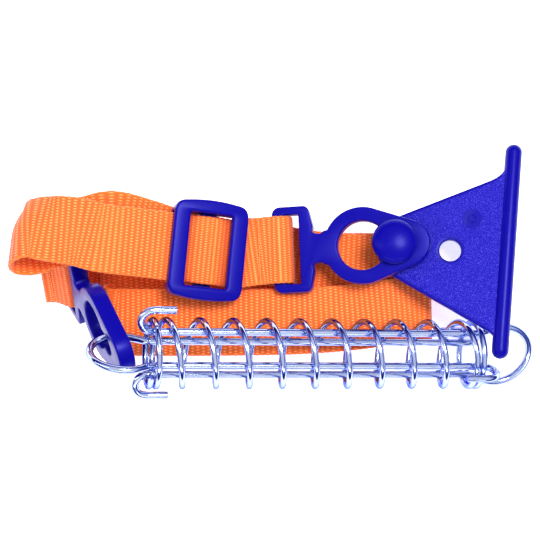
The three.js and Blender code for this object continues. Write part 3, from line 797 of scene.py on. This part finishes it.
LEFT_TAIL = [station(-81.8, -0.2, 11.0, 5, 34)]
LEFT_LOOP = [on(LOOP_LEFT, x, z) for x, z in ((-8.6, -0.8), (-6.4, -1.2))]
LEFT_LOOP += [on(LOOP_LEFT, p.x, p.y) for p in arc(0, 0, 4.3, -122, 122, 9)]
LEFT_LOOP += [on(LOOP_LEFT, x, z) for x, z in ((-6.4, 1.2), (-8.6, 0.8), (-11.0, 0.8))]

# %% [markdown]
# ## Ribbon
# One line runs through all the stations, and the ribbon is a section carried along it. The strap's last
# 41 mm, round the left connector, are made as a piece of their own, so the line is cut there into two pieces
# that meet edge to edge. At the left fold the far edge rolls in, as a stiff webbing's edge does when it is
# folded on the slant.

# %% Ribbon
STEP = 0.5


def ribbon_line(stations):
    """The stations as evenly fine points, each with its direction across and its length from the start."""
    middles = smooth_line([p for p, _ in stations], STEP)
    marks, travelled = [], [0.0]
    for p, q in zip(middles, middles[1:]):
        travelled.append(travelled[-1] + (q - p).length)
    spot = 0
    for p, _ in stations:
        while (middles[spot] - p).length > 0.01:
            spot += 1
        marks.append(spot)
    across = []
    for (start, stop), (_, a), (_, b) in zip(zip(marks, marks[1:]), stations, stations[1:]):
        across += [a.lerp(b, (i - start) / (stop - start)) for i in range(start, stop)]
    across.append(stations[-1][1])
    for _ in range(24):
        inner = [(a + 2 * b + c) / 4 for a, b, c in zip(across, across[1:], across[2:])]
        across = [across[0], *inner, across[-1]]
    return middles, across, travelled


def section():
    """The strap's section: offsets across and through, and where each lies on the width map."""
    half, deep = WIDTH / 2, THICK / 2
    flat = [half - 0.7 - (WIDTH - 1.4) * i / 12 for i in range(13)]
    top = [(w, deep) for w in flat]
    turns = [math.radians(a) for a in (35, 70, 110, 145)]
    left = [(-half + 0.7 - 0.7 * math.sin(t), deep * math.cos(t)) for t in turns]
    bottom = [(w, -deep) for w in reversed(flat)]
    right = [(half - 0.7 + 0.7 * math.sin(t), -deep * math.cos(t)) for t in turns]
    return top + left + bottom + right


def ribbon(name, line, first, last, presses=(), tight_until=0.0, curl=(0.0, 1.0, 0.0)):
    """One length of the strap's line as a closed mesh with its length and width as a map.
    curl is where, how far along and how deep the far edge rolls in."""
    middles, across, travelled = line
    bm = bmesh.new()
    weave = bm.loops.layers.uv.new("weave")
    pressed = bm.verts.layers.float.new("pressed")
    tight = bm.verts.layers.float.new("tight")
    shape, rings = section(), []
    for i in range(first, last + 1):
        way = (middles[min(i + 1, len(middles) - 1)] - middles[max(i - 1, 0)]).normalized()
        wide_way = (across[i] - across[i].dot(way) * way).normalized()
        up = way.cross(wide_way)
        s = travelled[i]
        scallop = 1 + 0.007 * math.cos(2 * math.pi * s / RIB)
        roll = curl[2] * math.exp(-(((s - curl[0]) / curl[1]) ** 2))
        ring = []
        for w, h in shape:
            inward = h + roll * (max(w + 1, 0) / (WIDTH / 2 + 1)) ** 2
            ring.append(bm.verts.new(middles[i] + wide_way * w * scallop + up * inward))
            ring[-1][pressed] = max([0.0, *[1 - abs(s - at) / reach for at, reach in presses]])
            ring[-1][tight] = 1.0 if s < tight_until else 0.0
        rings.append(ring)
    count = len(shape)
    for i, (low, high) in enumerate(zip(rings, rings[1:])):
        for k in range(count):
            m = (k + 1) % count
            face = bm.faces.new((low[k], low[m], high[m], high[k]))
            for loop in face.loops:
                row = first + i + (0 if loop.vert in (low[k], low[m]) else 1)
                column = k if loop.vert in (low[k], high[k]) else m
                loop[weave].uv = (travelled[row], shape[column][0])
    for ring in (rings[0], rings[-1]):
        for loop, (w, _) in zip(bm.faces.new(ring).loops, shape):
            loop[weave].uv = (RIB / 2, w)
    piece = finish_piece(name, bm, WEBBING, None, [], sharp_deg=60)
    length = travelled[last] - travelled[first]
    print(f"{name}: {length:.0f} mm long")
    return piece, length


runs = [RUN_1, RUN_2, RUN_3, RUN_4, RUN_5, RUN_6, RUN_7, RUN_8]
REACH = [1.6, -6.0, 1.6, -4.4, 3.6, -3.2, 1.6]  # how far each fold stands out, right folds positive
path = RIGHT_LOOP + TOP
for number, run in enumerate(runs):
    if number:
        path += fold(runs[number - 1][-1], run[0], REACH[number - 1])
    path += run
path += LEFT_TURN

_, _, lengths = ribbon_line(RIGHT_LOOP + TOP[:8])
through_slider = lengths[-1]
presses = [(through_slider - 16.5, 0.9), (through_slider - 32, 0.9), (through_slider - 43, 0.9)]
presses += [(through_slider + 19 + RIB * i, 0.8) for i in range(5)]
line = ribbon_line(path + LEFT_TAIL + LEFT_LOOP)
seam = min(range(len(line[0])), key=lambda i: (line[0][i] - LEFT_TURN[-1][0]).length)
roll_in = (through_slider + 63, 18, 5.0)
strap, strap_length = ribbon("webbing_strap", line, 0, seam, presses, through_slider - 4, roll_in)
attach(strap, "strap")
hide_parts("webbing_top_run", "webbing_right_loop", "webbing_hank_upper", "webbing_hank_lower")

left_end, left_length = ribbon("webbing_left_end", line, seam, len(line[0]) - 1)
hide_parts("webbing_left_loop")
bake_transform(left_end)
print(f"strap, whole: {strap_length + left_length:.0f} mm")

# %% [markdown]
# ## Stitching
# Each end loop is closed by a row of lock stitches across the strap. A stitch is a short thread that dives
# into the cloth at both ends, so each is a small bowed wire of its own, and the row is one piece.

# %% Rows of stitches
def stitches(name, matrix, at, heights, body, node):
    bm = bmesh.new()
    for height in heights:
        out = math.copysign(1, height)
        for i in range(10):
            y = -11.2 + 2.3 * i
            rise = [(0.0, -0.5), (0.25, 0.05), (0.9, 0.22), (1.55, 0.05), (1.8, -0.5)]
            line = smooth_line([Vector((at, y + s, height + out * h)) for s, h in rise], 0.25)
            stitch = wire(line, 0.24, matrix, sides=8, nose=0.05)
            mesh = bpy.data.meshes.new("stitch")
            stitch.to_mesh(mesh)
            stitch.free()
            bm.from_mesh(mesh)
            bpy.data.meshes.remove(mesh)
    return finish_piece(name, bm, THREAD, body, [node])


stitches("stitches_right", LOOP_RIGHT, -8.7, (1.55, -1.55), "strap", "stitching_right")
stitches("stitches_left", LOOP_LEFT, -7.8, (1.6, -1.6), "left_connector", "stitching_left")
